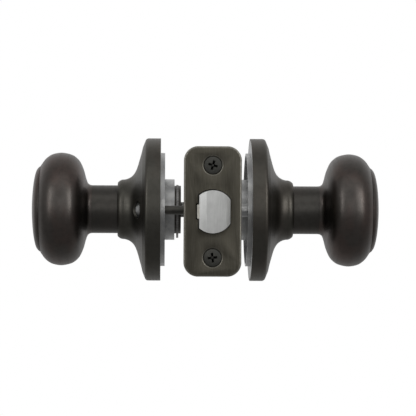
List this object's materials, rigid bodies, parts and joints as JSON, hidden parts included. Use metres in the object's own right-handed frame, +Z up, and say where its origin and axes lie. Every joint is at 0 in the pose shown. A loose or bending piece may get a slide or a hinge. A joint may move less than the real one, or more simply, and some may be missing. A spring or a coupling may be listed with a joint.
{
  "type": "door knob",
  "caption": "Passage door knob set: mushroom knobs on round trumpet roses, joined by a spindle through a sprung tubular latch that the knobs retract.",
  "frame": {"origin": "where the knobs' turning axis crosses the middle of the door; the latch's axis passes 2 mm to its exterior side", "axes": "+X along the knobs' axis to the exterior side, -Y out of the door's edge where the bolt comes out, +Z up"},
  "size_m": [0.1624, 0.1064, 0.0668],
  "materials": {
    "bronze_knob": "satin dark oil-rubbed bronze plating over brass",
    "bronze_rose": "satin dark oil-rubbed bronze plating over brass",
    "bronze_shank": "satin dark oil-rubbed bronze plating over brass",
    "bronze_plate": "brushed, dark bronze plated, worn lighter at the edge",
    "black_screw": "black oxide",
    "satin_bolt": "satin zinc plate",
    "strip_nylon": "cream, smooth",
    "zinc_steel": "zinc plated",
    "bearing_nylon": "natural nylon",
    "spring_steel": "oiled spring steel",
    "mechanism_steel": "bright pressed steel"
  },
  "bodies": {
    "chassis": {"interior_rose": "bronze_rose", "interior_chassis": "zinc_steel", "interior_bushing": "bearing_nylon", "exterior_rose": "bronze_rose", "exterior_chassis": "zinc_steel", "exterior_bushing": "bearing_nylon", "mounting_posts": "zinc_steel", "mounting_screws": "black_screw", "latch_faceplate": "bronze_plate", "latch_backplate": "zinc_steel", "faceplate_screws": "black_screw", "latch_barrel": "zinc_steel", "spring_seat": "zinc_steel", "latch_case_left": "zinc_steel", "latch_case_right": "zinc_steel", "case_rivets": "zinc_steel", "bolt_spring": "spring_steel"},
    "knobs": {"interior_knob_shank": "bronze_shank", "interior_knob_shell": "bronze_knob", "interior_knob_face": "bronze_knob", "interior_retaining_ring": "spring_steel", "exterior_knob_shank": "bronze_shank", "exterior_knob_shell": "bronze_knob", "exterior_knob_face": "bronze_knob", "exterior_retaining_ring": "spring_steel", "spindle": "mechanism_steel", "retractor_hub": "mechanism_steel"},
    "retractor": {"retractor_yoke": "mechanism_steel"},
    "bolt": {"latch_bolt": "satin_bolt", "bolt_wear_strip": "strip_nylon", "bolt_stem": "mechanism_steel"}
  },
  "joints": [
    {"name": "knob_turn", "type": "hinge", "parent": "chassis", "child": "knobs", "pos_m": [0, 0, 0], "axis": [1, 0, 0], "range_deg": [0, 72], "stiffness_Nm_per_rad": 0.08, "springref_deg": -34.38},
    {"name": "retractor_slide", "type": "slide", "parent": "chassis", "child": "retractor", "axis": [0, 1, 0], "range_m": [0, 0.0125]},
    {"name": "bolt_push", "type": "slide", "parent": "retractor", "child": "bolt", "axis": [0, 1, 0], "range_m": [0, 0.0125], "stiffness_N_per_m": 350, "springref_m": -0.01, "deforming": ["bolt_spring"]}
  ],
  "couplings": [
    {"joint": "retractor_slide", "follows": "knob_turn", "m_per_rad": 0.0099472}
  ]
}
